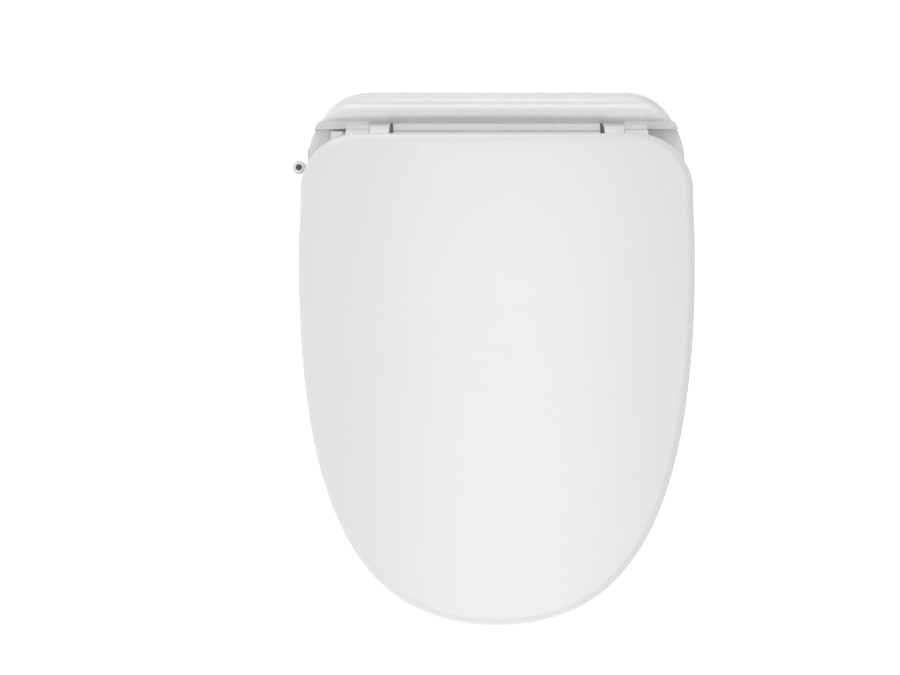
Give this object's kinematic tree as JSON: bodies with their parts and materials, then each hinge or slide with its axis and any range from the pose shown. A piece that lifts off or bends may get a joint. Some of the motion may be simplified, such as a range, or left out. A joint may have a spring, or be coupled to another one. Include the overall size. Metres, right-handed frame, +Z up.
{
  "type": "electric bidet seat",
  "caption": "Closed bidet toilet seat with a crowned lid, heated ring, rear housing with wash nozzles and dryer, water inlet and slide-on mounting plate.",
  "frame": {"origin": "midway between the two mounting slots, on the bowl's rim plane", "axes": "+Z up, +Y to the rear along the seat's length, +X to the right seen from above with the rear at the top"},
  "size_m": [0.398, 0.525, 0.084],
  "materials": {
    "white_gloss": "polished white",
    "white_satin": "fine satin white",
    "grey_plastic": "moulded light grey",
    "dark_plastic": "moulded black",
    "rubber": "soft off-white rubber",
    "steel": "brushed stainless",
    "motor_can": "drawn can",
    "brass_gear": "machined",
    "ceramic_white": "glazed",
    "board_green": "solder mask",
    "foil": "rolled foil",
    "carbon": "pressed carbon",
    "lens": "dark lens"
  },
  "bodies": {
    "base": {"base_chassis": "white_satin", "top_cover": "white_gloss", "hinge_pins": "steel", "heater_cable_bush": "grey_plastic", "seat_cable_cover": "white_gloss", "bowl_pads": "rubber", "cover_screws": "steel", "nozzle_guide": "grey_plastic", "nozzle_shroud": "white_satin", "rear_nozzle_motor": "motor_can", "front_nozzle_motor": "motor_can", "dryer_flap_pin": "steel", "blower_housing": "grey_plastic", "blower_motor": "motor_can", "dryer_duct": "grey_plastic", "dryer_heater": "motor_can", "solenoid_valve": "dark_plastic", "water_heater": "ceramic_white", "heater_core": "steel", "supply_hose": "rubber", "flow_selector": "grey_plastic", "hot_water_hose": "rubber", "drain_plug": "white_satin", "cord_gland": "rubber", "control_board": "board_green", "board_components": "dark_plastic", "power_supply": "dark_plastic", "switch_board": "board_green", "receiver_lens": "lens"},
    "seat": {"seat_upper_shell": "white_gloss", "seat_lower_plate": "white_satin", "seat_heater_foil": "foil", "seat_bumpers": "rubber", "seat_screws": "steel"},
    "lid": {"lid_shell": "white_gloss", "soft_close_dampers": "dark_plastic", "lid_inner_panel": "white_gloss", "lid_bumpers": "rubber"},
    "rear_nozzle": {"rear_nozzle_cap": "white_satin", "rear_nozzle_head": "white_gloss", "rear_nozzle_tube": "steel", "rear_nozzle_rack": "grey_plastic"},
    "rear_pinion": {"rear_nozzle_pinion": "brass_gear"},
    "front_nozzle": {"front_nozzle_cap": "white_satin", "front_nozzle_head": "white_gloss", "front_nozzle_tube": "steel", "front_nozzle_rack": "grey_plastic"},
    "front_pinion": {"front_nozzle_pinion": "brass_gear"},
    "impeller": {"blower_impeller": "dark_plastic"},
    "flap": {"dryer_flap": "white_satin"},
    "cartridge": {"deodorizer_cartridge": "grey_plastic", "carbon_block": "carbon"},
    "inlet": {"inlet_elbow": "white_gloss", "inlet_collar": "white_satin", "inlet_filter": "dark_plastic"},
    "plate": {"mounting_plate": "white_satin"},
    "power_button": {"power_button": "grey_plastic"},
    "wash_button": {"wash_button": "grey_plastic"},
    "release_button": {"release_button": "grey_plastic"}
  },
  "joints": [
    {"name": "seat_hinge", "type": "hinge", "parent": "base", "child": "seat", "pos_m": [0, 0.0125, 0.066], "axis": [-1, 0, 0], "range_deg": [0, 95]},
    {"name": "lid_hinge", "type": "hinge", "parent": "seat", "child": "lid", "pos_m": [0, 0.0125, 0.066], "axis": [1, 0, 0], "range_deg": [-95, 0]},
    {"name": "rear_nozzle_slide", "type": "slide", "parent": "base", "child": "rear_nozzle", "axis": [0, -0.9781, -0.2079], "range_m": [0, 0.056]},
    {"name": "rear_pinion_spin", "type": "hinge", "parent": "base", "child": "rear_pinion", "pos_m": [0.021, -0.01557, 0.02697], "axis": [0, -0.2079, 0.9781], "range_deg": [-5, 410]},
    {"name": "front_nozzle_slide", "type": "slide", "parent": "base", "child": "front_nozzle", "axis": [0, -0.9781, -0.2079], "range_m": [0, 0.056]},
    {"name": "front_pinion_spin", "type": "hinge", "parent": "base", "child": "front_pinion", "pos_m": [-0.021, -0.01557, 0.02697], "axis": [0, -0.2079, 0.9781], "range_deg": [-410, 5]},
    {"name": "impeller_spin", "type": "hinge", "parent": "base", "child": "impeller", "pos_m": [0.092, -0.03, 0.024], "axis": [0, 0, 1], "continuous": true},
    {"name": "flap_hinge", "type": "hinge", "parent": "base", "child": "flap", "pos_m": [0.036, -0.0872, 0.0288], "axis": [-1, 0, 0], "range_deg": [0, 70]},
    {"name": "cartridge_slide", "type": "slide", "parent": "base", "child": "cartridge", "axis": [1, 0, 0], "range_m": [0, 0.045]},
    {"name": "inlet_swivel", "type": "hinge", "parent": "base", "child": "inlet", "pos_m": [-0.19, -0.0157, 0.03], "axis": [-1, 0, 0], "range_deg": [0, 170]},
    {"name": "plate_slide", "type": "slide", "parent": "base", "child": "plate", "axis": [0, 1, 0], "range_m": [0, 0.025]},
    {"name": "power_press", "type": "slide", "parent": "base", "child": "power_button", "axis": [-1, 0, 0], "range_m": [0, 0.0015], "stiffness_N_per_m": 400},
    {"name": "wash_press", "type": "slide", "parent": "base", "child": "wash_button", "axis": [-1, 0, 0], "range_m": [0, 0.0015], "stiffness_N_per_m": 400},
    {"name": "release_press", "type": "slide", "parent": "base", "child": "release_button", "axis": [1, 0, 0], "range_m": [0, 0.003], "stiffness_N_per_m": 500}
  ],
  "couplings": [
    {"joint": "rear_pinion_spin", "follows": "rear_nozzle_slide", "rad_per_m": 125},
    {"joint": "front_pinion_spin", "follows": "front_nozzle_slide", "rad_per_m": -125}
  ]
}
